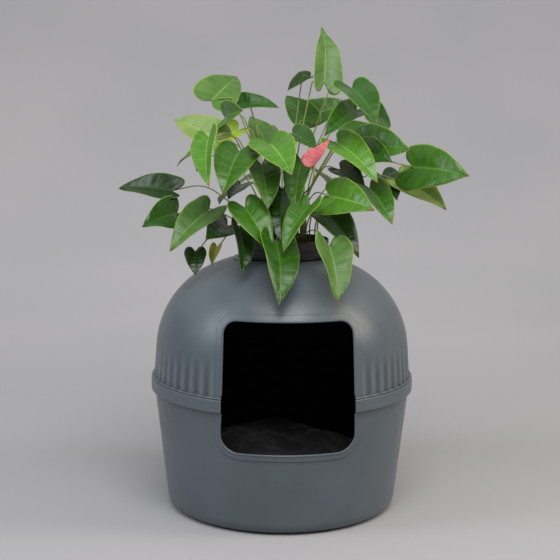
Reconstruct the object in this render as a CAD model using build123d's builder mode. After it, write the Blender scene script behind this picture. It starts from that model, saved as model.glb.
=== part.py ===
"""Round cat litter box: a deep pan, a domed hood with a doorway, and a potted plant in the hood.

Millimetres, +Z up. The origin is the centre of the foot on the floor, and the doorway faces -Y.
"""
import os
from math import atan2, cos, degrees, radians, sin, sqrt, tan

from build123d import *

# Litter pan: a deep round tub whose rim turns outward and down
pan_height = 251.0
rim_radius = 250.0
rim_overhang = 4.0
pan_flare = 29.0  # from the foot to the top of the straight wall, carried down to the floor
pan_corner_radius = 24.6
pan_wall = 3.0
rim_depth = 24.0
rim_wall = 3.0
rim_edge_chamfer = 1.6

# Hood: a fluted skirt, then a shoulder and a flatter crown, both round
flange_height = 3.5
flange_inset = 1.0  # inside the pan's rim
skirt_setback = 5.5  # of the skirt's foot from the pan's rim
skirt_draw = 4.5  # from the skirt's foot to its top
skirt_height = 63.0  # above the pan's rim
shoulder_radius = 174.0
crown_rise = 175.0  # from the top of the skirt to the crown
hood_wall = 4.0
tongue_depth = 14.0
tongue_wall = 3.0
tongue_clearance = 1.0

# Flutes: shallow upright hollows round the skirt that run out at the top
flute_count = 64
flute_radius = 22.0
flute_depth = 2.4
flute_bottom = 6.0  # above the pan's rim
flute_run_out = 80.0  # above the pan's rim, where the depth is back to nothing
flute_overrun = 1.3  # length of the cutter over the flute's, to leave the dome cleanly

# Doorway through the pan and the hood, with a raised border
door_sill = 154.0
door_head = 391.0
door_sill_half_width = 121.0
door_head_half_width = 116.0
door_sill_corner = 34.0
door_head_corner = 26.0
border_width = 10.5
border_height = 1.5

# Planter: a closed cup that hangs by its flange in the crown's hole
cup_hole_radius = 88.5
cup_seat_width = 7.5
cup_clearance = 1.0
cup_wall = 2.5
cup_flange_inset = 1.5
cup_flange_height = 2.0
cup_flange_chamfer = 0.9
cup_depth = 104.5
cup_taper = 9.0

# Nursery pot and soil
pot_clearance = 3.0  # all round, inside the cup
pot_taper = 18.0
pot_height = 140.0
pot_wall = 1.6
pot_rim_step = 5.0
pot_rim_height = 17.0
pot_rim_chamfer = 1.0
drain_hole_radius = 5.0
drain_hole_count = 8
drain_hole_setback = 22.0  # of the holes' centres from the pot's edge
soil_below_rim = 18.0
soil_clearance = 0.3

# Plush pad on the pan's floor
pad_clearance = 6.0
pad_floor_gap = 0.3
pad_thickness = 128.0
pad_edge_radius = 55.0
pad_crown = 14.0
pad_shoulder_width = 44.0  # from the pad's side in to where its crown begins
pad_draw_in = 12.0  # how far its side leans in from the clearance to the wall

# Plant
stalk_radius = 1.5
blade_thickness = 1.2
blade_width_ratio = 0.36  # half width over length
plant_spread = 296.1  # how far out a joint would be whose stalk is rooted at the soil's edge
rim_hop = 20.0  # above the pot's rim, the lowest bend of a stalk

# ---------------------------------------------------------------- profiles

pan_top_radius = rim_radius - rim_overhang
pan_foot_radius = pan_top_radius - pan_flare
skirt_bottom_radius = rim_radius - skirt_setback
skirt_top_radius = skirt_bottom_radius - skirt_draw
cup_seat_radius = cup_hole_radius + cup_seat_width


def pan_section(inset):
    """Half section of the pan's body, all of it drawn inside the outer face by inset."""
    slope = (pan_top_radius - pan_foot_radius) / pan_height
    foot = pan_foot_radius - inset + slope * inset
    with BuildSketch(Plane.XZ, mode=Mode.PRIVATE) as section:
        with BuildLine():
            Polyline(
                (0, inset), (foot, inset), (pan_top_radius - inset, pan_height), (0, pan_height), close=True
            )
        make_face()
        corner = section.vertices().group_by(Axis.Y)[0].sort_by(Axis.X)[-1]
        fillet(corner, pan_corner_radius - inset)
    return section.sketch


def wall_radius_at(height):
    """Outer radius of the pan's wall at a height above the floor."""
    return pan_foot_radius + (pan_top_radius - pan_foot_radius) * height / pan_height


skirt_bottom = pan_height + flange_height
skirt_top = pan_height + skirt_height
skirt_lean = atan2(skirt_bottom_radius - skirt_top_radius, skirt_top - skirt_bottom)
shoulder_x = skirt_top_radius - shoulder_radius * cos(skirt_lean)
shoulder_z = skirt_top - shoulder_radius * sin(skirt_lean)
crown_top = skirt_top + crown_rise
crown_above_shoulder = crown_top - shoulder_z
crown_radius = (shoulder_x**2 + crown_above_shoulder**2 - shoulder_radius**2) / (
    2 * (crown_above_shoulder - shoulder_radius)
)
crown_z = crown_top - crown_radius
shoulder_angle = degrees(atan2(shoulder_z - crown_z, shoulder_x))
seat_z = crown_z + sqrt(crown_radius**2 - cup_seat_radius**2)


def hood_section(inset, bottom):
    """Half section of the hood's dome down to a height, drawn inside the outer face by inset."""
    lean = degrees(skirt_lean)
    top = crown_radius - inset
    with BuildSketch(Plane.XZ, mode=Mode.PRIVATE) as section:
        with BuildLine():
            shoulder = CenterArc(
                (shoulder_x, shoulder_z), shoulder_radius - inset, lean, shoulder_angle - lean
            )
            crown = CenterArc((0, crown_z), top, shoulder_angle, 90 - shoulder_angle)
            skirt_end = shoulder @ 0
            low = skirt_end.X + (skirt_end.Y - bottom) * tan(skirt_lean)
            Polyline(shoulder @ 0, (low, bottom), (0, bottom), crown @ 1)
        make_face()
    return section.sketch


def doorway_outline(margin):
    """The doorway seen from the front, wider all round by margin."""
    side = (door_sill_half_width - door_head_half_width) / (door_head - door_sill)
    low = door_sill_half_width + margin * (1 + side)
    high = door_head_half_width + margin * (1 - side)
    sill, head = door_sill - margin, door_head + margin
    with BuildSketch(Plane.XZ, mode=Mode.PRIVATE) as outline:
        with BuildLine():
            Polyline((-low, sill), (low, sill), (high, head), (-high, head), close=True)
        make_face()
        fillet(outline.vertices().group_by(Axis.Y)[0], door_sill_corner + margin)
        fillet(outline.vertices().group_by(Axis.Y)[-1], door_head_corner + margin)
    return outline.sketch


def ring_section(inner, outer, low, high, edge=0):
    """Rectangle to be turned into a ring about the vertical axis, its outer corners cut off by edge."""
    with BuildSketch(Plane.XZ, mode=Mode.PRIVATE) as section:
        with BuildLine():
            Polyline((inner, low), (outer, low), (outer, high), (inner, high), close=True)
        make_face()
        if edge:
            chamfer(section.vertices().group_by(Axis.X)[-1], edge)
    return section.sketch


# ---------------------------------------------------------------- litter pan

door_reach = rim_radius + 50.0  # far enough to cut through the front of both shells
rim_inside = rim_radius - rim_wall

with BuildPart() as pan_border:
    revolve(pan_section(-border_height), Axis.Z)
    extrude(doorway_outline(border_width), amount=door_reach, mode=Mode.INTERSECT)

with BuildPart() as litter_pan:
    revolve(pan_section(0), Axis.Z)
    revolve(ring_section(pan_top_radius - pan_wall, rim_inside, pan_height - rim_wall, pan_height), Axis.Z)
    revolve(ring_section(rim_inside, rim_radius, pan_height - rim_depth, pan_height, rim_edge_chamfer), Axis.Z)
    add(pan_border.part)
    revolve(pan_section(pan_wall), Axis.Z, mode=Mode.SUBTRACT)
    extrude(doorway_outline(0), amount=door_reach, mode=Mode.SUBTRACT)
litter_pan.part.label = "litter_pan"

# ---------------------------------------------------------------- hood

flute_floor_bottom = skirt_bottom_radius - flute_depth
flute_base_z = pan_height + flute_bottom
flute_run_out_z = pan_height + flute_run_out
run_out_radius = shoulder_x + sqrt(shoulder_radius**2 - (flute_run_out_z - shoulder_z) ** 2)
flute_rise = flute_run_out_z - flute_base_z
flute_lean = degrees(atan2(flute_floor_bottom - run_out_radius, flute_rise))
flute_pitch = 360 / flute_count
first_flute = int(degrees((door_sill_half_width + border_width) / skirt_bottom_radius) / flute_pitch) + 1

tongue_bottom = pan_height - tongue_depth
tongue_radius = wall_radius_at(tongue_bottom) - pan_wall - tongue_clearance

with BuildPart() as hood_border:
    revolve(hood_section(-border_height, skirt_bottom), Axis.Z)
    extrude(doorway_outline(border_width), amount=door_reach, mode=Mode.INTERSECT)

with BuildPart() as hood:
    revolve(hood_section(0, skirt_bottom), Axis.Z)
    for number in range(first_flute, flute_count - first_flute):
        heading = -90 + (number + 0.5) * flute_pitch
        outward = Vector(1, 0, 0).rotate(Axis.Z, heading)
        centre = outward * (flute_floor_bottom + flute_radius) + Vector(0, 0, flute_base_z)
        leaning = Plane(centre, x_dir=outward, z_dir=(0, 0, 1)).rotated((0, -flute_lean, 0))
        with BuildSketch(leaning):
            Circle(flute_radius)
        extrude(amount=flute_rise / cos(radians(flute_lean)) * flute_overrun, mode=Mode.SUBTRACT)
    add(hood_border.part)
    revolve(hood_section(hood_wall, skirt_bottom), Axis.Z, mode=Mode.SUBTRACT)
    revolve(
        ring_section(
            tongue_radius - tongue_wall, rim_radius - flange_inset, pan_height, skirt_bottom, rim_edge_chamfer
        ),
        Axis.Z,
    )
    revolve(ring_section(tongue_radius - tongue_wall, tongue_radius, tongue_bottom, skirt_bottom), Axis.Z)
    with Locations((0, 0, seat_z)):
        Cylinder(cup_seat_radius * 2, crown_rise, align=(Align.CENTER, Align.CENTER, Align.MIN), mode=Mode.SUBTRACT)
    Cylinder(cup_hole_radius, crown_top, align=(Align.CENTER, Align.CENTER, Align.MIN), mode=Mode.SUBTRACT)
    extrude(doorway_outline(0), amount=door_reach, mode=Mode.SUBTRACT)
hood.part.label = "hood"

# ---------------------------------------------------------------- planter cup

cup_radius = cup_hole_radius - cup_clearance
cup_floor_z = seat_z - cup_depth
cup_top = seat_z + cup_flange_height


def cup_section(inset, floor, top):
    """Half section of the cup, drawn inside its outer face by inset."""
    with BuildSketch(Plane.XZ, mode=Mode.PRIVATE) as section:
        with BuildLine():
            Polyline(
                (0, floor),
                (cup_radius - cup_taper - inset, floor),
                (cup_radius - inset, top),
                (0, top),
                close=True,
            )
        make_face()
    return section.sketch


with BuildPart() as planter_cup:
    revolve(cup_section(0, cup_floor_z, seat_z), Axis.Z)
    revolve(
        ring_section(
            cup_radius - cup_wall,
            cup_seat_radius - cup_flange_inset,
            seat_z,
            cup_top,
            cup_flange_chamfer,
        ),
        Axis.Z,
    )
    revolve(cup_section(cup_wall, cup_floor_z + cup_wall, cup_top), Axis.Z, mode=Mode.SUBTRACT)
planter_cup.part.label = "planter_cup"

# ---------------------------------------------------------------- nursery pot and soil

pot_body_radius = cup_radius - cup_wall - pot_clearance
pot_base_radius = pot_body_radius - pot_taper
pot_rim_radius = pot_body_radius + pot_rim_step
pot_base_z = cup_floor_z + cup_wall
pot_top = pot_base_z + pot_height
pot_rim_z = pot_top - pot_rim_height
soil_top = pot_top - soil_below_rim


def pot_radius_at(height):
    """Outer radius of the pot's tapered body at a height."""
    share = (height - pot_base_z) / (pot_rim_z - pot_base_z)
    return pot_base_radius + (pot_body_radius - pot_base_radius) * share


def pot_section(inset, low, high):
    """Half section of the pot's tapered body between two heights, inside its outer face by inset."""
    with BuildSketch(Plane.XZ, mode=Mode.PRIVATE) as section:
        with BuildLine():
            Polyline(
                (0, low),
                (pot_radius_at(low) - inset, low),
                (pot_radius_at(high) - inset, high),
                (0, high),
                close=True,
            )
        make_face()
    return section.sketch


with BuildPart() as plant_pot:
    revolve(pot_section(0, pot_base_z, pot_rim_z), Axis.Z)
    revolve(ring_section(pot_radius_at(pot_rim_z) - pot_wall, pot_rim_radius, pot_rim_z, pot_top, pot_rim_chamfer), Axis.Z)
    revolve(ring_section(0, pot_rim_radius - pot_wall, pot_rim_z + pot_wall, pot_top), Axis.Z, mode=Mode.SUBTRACT)
    revolve(pot_section(pot_wall, pot_base_z + pot_wall, pot_rim_z), Axis.Z, mode=Mode.SUBTRACT)
    with BuildSketch(Plane.XY.offset(pot_base_z)):
        with PolarLocations(pot_base_radius - drain_hole_setback, drain_hole_count):
            Circle(drain_hole_radius)
    extrude(amount=pot_wall, mode=Mode.SUBTRACT)
plant_pot.part.label = "plant_pot"

with BuildPart() as potting_soil:
    revolve(pot_section(pot_wall + soil_clearance, pot_base_z + pot_wall, soil_top), Axis.Z)
potting_soil.part.label = "potting_soil"

# ---------------------------------------------------------------- plush pad

pad_floor = pan_wall + pad_floor_gap
pad_foot_radius = pan_foot_radius - pan_corner_radius
pad_radius = wall_radius_at(pad_thickness) - pan_wall - pad_clearance - pad_draw_in

with BuildPart() as plush_pad:
    with BuildSketch(Plane.XZ):
        with BuildLine():
            Polyline((0, pad_thickness), (0, pad_floor), (pad_foot_radius - pad_clearance, pad_floor))
            Line((pad_foot_radius - pad_clearance, pad_floor), (pad_radius, pad_thickness - pad_edge_radius))
            Spline(
                (pad_radius, pad_thickness - pad_edge_radius),
                (pad_radius - pad_shoulder_width, pad_thickness - pad_crown),
                (0, pad_thickness),
                tangents=((0, 1), (-1, 0)),
            )
        make_face()
    revolve(axis=Axis.Z)
plush_pad.part.label = "plush_pad"

# ---------------------------------------------------------------- plant

soil_radius = pot_radius_at(soil_top) - pot_wall - soil_clearance
root_gather = soil_radius / plant_spread

# Where each leaf's blade joins its stalk and where its tip is, both above the soil's middle,
# and which way its upper side faces
LEAVES = [
    ((-135, -5, 275), (-85, 80, 320), (0.1, -0.5, 0.8)),
    ((-90, 40, 265), (-10, -15, 265), (-0.2, -0.2, 1.0)),
    ((-110, -55, 245), (-80, -130, 260), (-0.8, -0.2, 0.6)),
    ((-125, -55, 205), (-205, 5, 240), (0.0, -0.5, 0.9)),
    ((-85, 25, 220), (-130, -25, 185), (-0.3, -0.4, 0.9)),
    ((-140, -115, 210), (-140, -195, 130), (-0.9, -0.3, 0.3)),
    ((-85, -80, 185), (-115, -165, 115), (-0.3, -0.5, 0.8)),
    ((-30, 45, 190), (-60, 110, 245), (0.4, -0.4, 0.8)),
    ((-30, -90, 200), (5, -180, 150), (0.1, -0.4, 0.9)),
    ((-145, 10, 170), (-165, 55, 140), (-0.9, -0.3, 0.2)),
    ((45, 40, 235), (10, 105, 285), (0.3, -0.5, 0.8)),
    ((50, 25, 320), (5, -25, 295), (-0.4, -0.1, 0.9)),
    ((75, -5, 310), (75, 55, 415), (0.8, -0.5, 0.3)),
    ((120, -65, 300), (155, -155, 240), (0.4, -0.4, 0.8)),
    ((165, 60, 255), (220, 125, 225), (0.8, -0.3, 0.5)),
    ((45, 85, 240), (145, 125, 270), (0.0, -0.4, 0.9)),
    ((130, -55, 260), (65, -125, 215), (-0.3, -0.3, 0.9)),
    ((155, 20, 205), (110, 95, 230), (0.0, -0.3, 1.0)),
    ((145, -20, 195), (225, -100, 190), (-0.5, -0.5, 0.7)),
    ((140, -45, 185), (190, -115, 170), (-0.4, -0.4, 0.8)),
    ((95, -75, 200), (160, -155, 135), (0.4, -0.4, 0.8)),
    ((240, -35, 155), (330, -120, 145), (-0.5, -0.6, 0.6)),
    ((230, -5, 125), (300, -65, 80), (0.1, -0.4, 0.9)),
    ((30, -60, 165), (15, -135, 80), (-0.8, -0.4, 0.5)),
    ((40, -130, 90), (-10, -190, 15), (-0.7, -0.2, 0.6)),
    ((80, -100, 105), (150, -185, 90), (-0.4, -0.5, 0.8)),
    ((160, -30, 115), (195, -100, 55), (0.4, -0.4, 0.8)),
    ((190, 30, 135), (210, -50, 95), (0.4, -0.4, 0.9)),
    ((105, -25, 150), (145, -85, 125), (0.1, -0.3, 0.9)),
    ((15, -30, 215), (55, -105, 190), (0.2, -0.3, 1.0)),
    ((70, -70, 75), (130, -140, 0), (0.4, -0.4, 0.8)),
    ((75, -145, 20), (85, -220, -70), (0.7, -0.5, 0.5)),
    ((-20, -150, 25), (-20, -245, -70), (0.8, -0.5, 0.4)),
    ((-75, -105, 85), (-30, -165, 10), (0.4, -0.5, 0.8)),
    ((-85, -95, 45), (-80, -160, -30), (0.9, -0.3, 0.4)),
    ((-45, -70, 160), (-35, -135, 85), (0.6, -0.5, 0.6)),
    ((-80, -15, 120), (-105, -90, 100), (-0.3, -0.2, 0.9)),
    ((-140, -60, 75), (-210, -135, 10), (-0.4, -0.4, 0.8)),
    ((-105, -35, 45), (-145, -130, 30), (0.2, -0.2, 1.0)),
    ((-200, -10, 65), (-260, -85, 50), (0.4, -0.5, 0.8)),
    ((-210, 20, 105), (-315, 75, 105), (-0.1, -0.3, 0.9)),
    ((-165, -60, 0), (-165, -90, -40), (0.0, -0.8, 0.6)),
    ((-125, -35, 5), (-135, -65, -25), (-0.7, -0.4, 0.6)),
    ((-5, -70, 115), (-10, -150, 25), (-0.8, -0.4, 0.4)),
    ((60, 90, 145), (110, 190, 95), (0.3, 0.6, 0.7)),
    ((-60, 95, 125), (-120, 180, 65), (-0.4, 0.6, 0.7)),
    ((0, 110, 205), (10, 220, 185), (0.0, 0.3, 1.0)),
    ((-120, 100, 185), (-205, 160, 145), (-0.5, 0.4, 0.8)),
    ((135, 100, 105), (215, 165, 65), (0.4, 0.4, 0.8)),
    ((0, 125, 75), (0, 195, -15), (0.0, 0.8, 0.5)),
]
FLOWER = ((50, -120, 165), (75, -125, 210), (-0.3, 0.35, 0.9))
spadix_radius = 3.5
spadix_length = 34.0
spadix_taper = 2.0  # degrees
spadix_tip_radius = 1.4
spadix_lean = 35.0  # from square to the spathe, towards its tip


def blade_outline(length):
    """Heart-shaped blade of a leaf lying along +X, the stalk's joint at the origin and the tip at length."""
    half = blade_width_ratio * length
    lobe = (-0.2 * length, 0.55 * half)
    with BuildSketch(mode=Mode.PRIVATE) as outline:
        with BuildLine():
            Bezier((0, 0), (-0.03 * length, 0.3 * half), (-0.17 * length, 0.1 * half), lobe)
            Bezier(lobe, (-0.23 * length, 0.95 * half), (0.02 * length, 1.25 * half), (0.34 * length, 0.82 * half))
            Bezier(
                (0.34 * length, 0.82 * half), (0.6 * length, 0.47 * half), (0.85 * length, 0.12 * half), (length, 0)
            )
            mirror(about=Plane.XZ)
        make_face()
    return outline.sketch


def bend_radius(before, corner, after):
    """Largest easy bend at a corner: its arc takes 0.45 of the shorter run."""
    turn = (corner - before).get_angle(after - corner)
    return 0.45 * min((corner - before).length, (after - corner).length) / tan(radians(turn) / 2)


def blade_plane(joint, tip, face):
    """The plane of a blade: its origin the joint, X towards the tip, Z out of its upper side."""
    along = Vector(*tip) - Vector(*joint)
    side = Vector(*face).cross(along)
    return Plane(Vector(*joint) + Vector(0, 0, soil_top), x_dir=along, z_dir=along.cross(side))


def stalk(joint, end, out=0.6, arch=0.1):
    """A round stalk that leaves the soil upright, bends over at a share of the way out and stops at end.

    Its second bend stands above the joint, or below it, by arch times the way out.
    """
    root = Vector(joint.X * root_gather, joint.Y * root_gather, soil_top)
    climb = max(joint.Z - soil_top, pot_top - soil_top + rim_hop)
    across = Vector(joint.X - root.X, joint.Y - root.Y, 0)
    first = root + Vector(0, 0, 0.5 * climb)
    second = root + across * out + Vector(0, 0, climb + arch * across.length)
    bends = [bend_radius(root, first, second), bend_radius(first, second, end)]
    with BuildPart() as piece:
        with BuildLine() as route:
            FilletPolyline(root, first, second, end, radius=bends)
        with BuildSketch(Plane(root)):
            Circle(stalk_radius)
        sweep(path=route.line)
    return piece.part


leaves = []
for number, (joint, tip, face) in enumerate(LEAVES):
    lying = blade_plane(joint, tip, face)
    length = (Vector(*tip) - Vector(*joint)).length
    with BuildPart() as leaf:
        with BuildSketch(lying):
            add(blade_outline(length))
        extrude(amount=blade_thickness / 2, both=True)
        add(stalk(lying.origin, lying.origin + lying.x_dir * 2 * stalk_radius))
    leaf.part.label = f"leaf_{number + 1:02}"
    leaves.append(leaf)

# ---------------------------------------------------------------- flower

flower_plane = blade_plane(*FLOWER)
flower_length = (Vector(*FLOWER[1]) - Vector(*FLOWER[0])).length
spathe_face = flower_plane.offset(blade_thickness / 2)

with BuildPart() as flower_stalk:
    add(stalk(flower_plane.origin, flower_plane.origin, out=0.92, arch=-0.4))
flower_stalk.part.label = "flower_stalk"

with BuildPart() as spathe:
    with BuildSketch(flower_plane):
        add(blade_outline(flower_length))
    extrude(amount=blade_thickness / 2, both=True)
    add(flower_stalk.part, mode=Mode.SUBTRACT)
spathe.part.label = "spathe"

with BuildPart() as spadix:
    with BuildSketch(flower_plane.rotated((0, spadix_lean, 0))):
        Circle(spadix_radius)
    extrude(amount=spadix_length, taper=spadix_taper)
    fillet(spadix.edges().sort_by_distance(flower_plane.origin)[-1], spadix_tip_radius)
    split(bisect_by=spathe_face)
    add(flower_stalk.part, mode=Mode.SUBTRACT)
spadix.part.label = "spadix"

os.makedirs("parts", exist_ok=True)
shells = [litter_pan, hood, planter_cup, plant_pot, potting_soil, plush_pad]
for piece in shells + leaves + [flower_stalk, spathe, spadix]:
    export_step(piece.part, f"parts/{piece.part.label}.step")
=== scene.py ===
from math import cos, hypot, pi, radians, sin

import bmesh
import bpy
import numpy as np
from mathutils import Matrix, Vector, noise


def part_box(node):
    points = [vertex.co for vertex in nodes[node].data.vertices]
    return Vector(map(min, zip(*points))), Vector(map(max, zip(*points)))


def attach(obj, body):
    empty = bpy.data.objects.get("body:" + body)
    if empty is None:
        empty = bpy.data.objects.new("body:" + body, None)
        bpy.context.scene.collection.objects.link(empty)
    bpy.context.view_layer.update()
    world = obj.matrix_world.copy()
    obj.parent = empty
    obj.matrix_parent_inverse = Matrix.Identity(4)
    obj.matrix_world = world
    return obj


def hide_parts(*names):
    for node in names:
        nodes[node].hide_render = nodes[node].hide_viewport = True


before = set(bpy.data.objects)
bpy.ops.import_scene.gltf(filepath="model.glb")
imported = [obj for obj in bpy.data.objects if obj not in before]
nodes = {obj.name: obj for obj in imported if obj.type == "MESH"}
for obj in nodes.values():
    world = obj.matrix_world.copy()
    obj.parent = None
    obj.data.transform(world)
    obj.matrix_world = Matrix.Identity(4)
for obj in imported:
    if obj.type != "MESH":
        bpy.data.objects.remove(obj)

scene = bpy.context.scene
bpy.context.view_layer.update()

# ------------------------------------------------------------------ camera
# A stills camera on a stand a little above the plant's pot, 2.4 m in front of the litter box.
# A long lens keeps the round shells free of distortion.

camera_data = bpy.data.cameras.new("stills_camera")
camera_data.sensor_width = 36
camera_data.lens = 82.2
camera_data.shift_x = -4 / 560
camera_data.shift_y = -2.3 / 560
camera = bpy.data.objects.new("stills_camera", camera_data)
camera.location = (-0.1347, -2.4092, 0.799)
camera.rotation_euler = (radians(90 - 8.54), radians(-0.45), radians(-3.2))
scene.collection.objects.link(camera)
scene.camera = camera
scene.view_settings.view_transform = "Standard"

# ------------------------------------------------------------------ studio
# A round cove of seamless paper: a pale floor that turns up into a low wall all the way round.
# Soft boxes stand to the left and the right of the camera, and a large one hangs overhead.


def linear(colour):
    """An sRGB hex colour as the linear RGBA that a socket takes."""
    levels = [int(colour[at : at + 2], 16) / 255 for at in (1, 3, 5)]
    return (*[v / 12.92 if v <= 0.04045 else ((v + 0.055) / 1.055) ** 2.4 for v in levels], 1.0)


def add_node(tree, kind, feeds=None, **settings):
    """Adds a node: settings are its own properties, feeds its sockets' values or what is linked to them."""
    made = tree.nodes.new("ShaderNode" + kind)
    for name, value in settings.items():
        setattr(made, name, value)
    for name, value in (feeds or {}).items():
        if isinstance(value, bpy.types.NodeSocket):
            tree.links.new(value, made.inputs[name])
        else:
            made.inputs[name].default_value = value
    return made


def start_material(name):
    """An empty node material and its tree."""
    material = bpy.data.materials.new(name)
    material.use_nodes = True
    material.node_tree.nodes.clear()
    return material, material.node_tree


def mixed(tree, share, low, high):
    """The colour between low and high, each a hex colour or an output, at a share from 0 to 1."""
    ends = [linear(end) if isinstance(end, str) else end for end in (low, high)]
    mix = add_node(tree, "Mix", {0: share, 6: ends[0], 7: ends[1]}, data_type="RGBA")
    return mix.outputs[2]


def spread(tree, value, low, high, to_low=0.0, to_high=1.0):
    """A value's run from low to high, laid out smoothly from to_low to to_high."""
    feeds = {"Value": value, "From Min": low, "From Max": high, "To Min": to_low, "To Max": to_high}
    return add_node(tree, "MapRange", feeds, interpolation_type="SMOOTHSTEP").outputs["Result"]


def mesh_object(name, points, faces, materials=(), face_materials=None):
    """A smooth-shaded mesh object from its points, in metres, and its faces."""
    mesh = bpy.data.meshes.new(name)
    mesh.from_pydata([tuple(p) for p in points], [], [tuple(f) for f in faces])
    for material in materials:
        mesh.materials.append(material)
    if face_materials is not None:
        mesh.polygons.foreach_set("material_index", face_materials)
    mesh.polygons.foreach_set("use_smooth", [True] * len(mesh.polygons))
    mesh.update()
    made = bpy.data.objects.new(name, mesh)
    scene.collection.objects.link(made)
    return made


# Uncoated seamless paper: matt, with a faint fibre and slow changes of tone
paper, tree = start_material("seamless_paper")
place = add_node(tree, "TexCoord").outputs["Object"]
paper_tone_run = 1.43
paper_fibre = 0.00238
slow = add_node(
    tree, "TexNoise", {"Vector": place, "Scale": 1 / paper_tone_run, "Detail": 2.0}
).outputs["Fac"]
fibre = add_node(tree, "TexNoise", {"Vector": place, "Scale": 1 / paper_fibre, "Detail": 3.0}).outputs["Fac"]
tone = mixed(tree, spread(tree, slow, 0.3, 0.7), "#a6a6aa", "#acabaf")
bump = add_node(tree, "Bump", {"Height": fibre, "Strength": 0.1, "Distance": 0.0002})
shader = add_node(
    tree, "BsdfPrincipled", {"Base Color": tone, "Roughness": 0.9, "Normal": bump.outputs["Normal"]}
)
shader.inputs["Specular IOR Level"].default_value = 0.2
add_node(tree, "OutputMaterial", {"Surface": shader.outputs["BSDF"]})

cove_radius = 5.4
cove_bend = 3.2
cove_height = 2.3
cove_turns = 96
floor_radius = cove_radius - cove_bend
cove_profile = [(0.0, 0.0), (0.7, 0.0), (1.4, 0.0), (floor_radius, 0.0)]
for a in np.linspace(0.05, pi / 2, 28):
    cove_profile.append((floor_radius + cove_bend * sin(a), cove_height * (1 - cos(a))))
points = [
    (r * cos(2 * pi * k / cove_turns), r * sin(2 * pi * k / cove_turns), z)
    for r, z in cove_profile
    for k in range(cove_turns)
]
faces = []
for i in range(len(cove_profile) - 1):
    for k in range(cove_turns):
        a, b = i * cove_turns + k, i * cove_turns + (k + 1) % cove_turns
        faces.append((a, b, b + cove_turns, a + cove_turns))
cove = mesh_object("paper_cove", points, faces, [paper])


def soft_box(name, place, aim, size, watts, colour):
    """A rectangular soft box at a place, turned to an aim."""
    lamp = bpy.data.lights.new(name, "AREA")
    lamp.shape = "RECTANGLE"
    lamp.size, lamp.size_y = size
    lamp.energy = watts
    lamp.color = linear(colour)[:3]
    made = bpy.data.objects.new(name, lamp)
    made.location = place
    made.rotation_euler = (Vector(aim) - Vector(place)).to_track_quat("-Z", "Y").to_euler()
    scene.collection.objects.link(made)


soft_box("left_soft_box", (-2.1, -0.7, 1.7), (0, 0, 0.45), (0.9, 1.5), 19, "#eef4ff")
soft_box("right_soft_box", (2.1, -0.5, 1.7), (0, 0, 0.45), (0.9, 1.5), 26, "#ffeedb")
soft_box("overhead_soft_box", (0.1, -1.5, 2.4), (0, 0, 0.4), (1.5, 1.5), 43, "#ffffff")
soft_box("backdrop_light", (0, 1.6, 2.6), (0, 5.2, 0.9), (3.4, 0.8), 64, "#fffdfa")

world = bpy.data.worlds.new("studio_air")
scene.world = world
world.use_nodes = True
world.node_tree.nodes["Background"].inputs["Color"].default_value = linear("#f4f3ef")
world.node_tree.nodes["Background"].inputs["Strength"].default_value = 0.55

# ------------------------------------------------------------------ litter pan, hood and planter cup
# Three injection mouldings in slate grey polypropylene: the deep pan with its turned-down rim, the fluted
# hood that drops inside that rim, and the cup that hangs in the crown by its flange.

# Polypropylene from a spark-eroded mould: a fine even grain breaks up the highlights, edges are slightly
# rounded, and long flow marks change the tone a little
slate, tree = start_material("slate_moulded_polypropylene")
place = add_node(tree, "TexCoord").outputs["Object"]
edge_radius = 0.0012
flow_mark = 0.11
scuff_patch = 0.0263
grain = 0.0011  # the real 0.3 mm grain is too fine to show
flow = add_node(
    tree, "TexNoise", {"Vector": place, "Scale": 1 / flow_mark, "Detail": 3.0, "Roughness": 0.45}
).outputs["Fac"]
pits = add_node(
    tree, "TexNoise", {"Vector": place, "Scale": 1 / grain, "Detail": 2.0, "Roughness": 0.6}
).outputs["Fac"]
scuff = add_node(
    tree, "TexNoise", {"Vector": place, "Scale": 1 / scuff_patch, "Detail": 5.0, "Roughness": 0.7}
).outputs["Fac"]
tone = mixed(tree, spread(tree, flow, 0.35, 0.65), "#4f5960", "#556067")
tone = mixed(tree, spread(tree, pits, 0.3, 0.7, 0.0, 0.35), tone, "#666d73")
# A painted shade on the floors of the moulded flutes and a painted highlight on the ribs between them: even
# light from all round shows so little of a 2.4 mm hollow that the flutes would be lost without it
flutes = 64
flute_low, flute_full, flute_top = 0.252, 0.282, 0.331
plain_front = radians(33)  # no flutes this far either side of the doorway's middle
axes = add_node(tree, "SeparateXYZ", {"Vector": place})
forward = add_node(tree, "Math", {0: axes.outputs["Y"], 1: -1.0}, operation="MULTIPLY").outputs[0]
turned = add_node(tree, "Math", {0: axes.outputs["X"], 1: forward}, operation="ARCTAN2").outputs[0]
flute = add_node(tree, "Math", {0: turned, 1: float(flutes)}, operation="MULTIPLY").outputs[0]
flute = add_node(tree, "Math", {0: flute}, operation="COSINE").outputs[0]
there = add_node(tree, "Math", {0: turned}, operation="ABSOLUTE").outputs[0]
there = spread(tree, there, plain_front - 0.01, plain_front)
for end in (
    spread(tree, axes.outputs["Z"], flute_low, flute_low + 0.003),
    spread(tree, axes.outputs["Z"], flute_full, flute_top, 1.0, 0.0),
):
    there = add_node(tree, "Math", {0: there, 1: end}, operation="MULTIPLY").outputs[0]
for band, shade in (
    (spread(tree, flute, -0.9, 0.3, 0.6, 0.0), "#3c444a"),
    (spread(tree, flute, 0.4, 1.0, 0.0, 0.35), "#747c82"),
):
    share = add_node(tree, "Math", {0: band, 1: there}, operation="MULTIPLY").outputs[0]
    tone = mixed(tree, share, tone, shade)
# The same for narrow gaps: a painted shade darkens the seam over the rim and the corner under its edge a
# little
gap_shade_reach = 0.006
hollow = add_node(tree, "AmbientOcclusion", {"Distance": gap_shade_reach}, samples=8).outputs["AO"]
tone = mixed(tree, spread(tree, hollow, 0.4, 0.85, 0.8, 0.0), tone, "#22262a")
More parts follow.
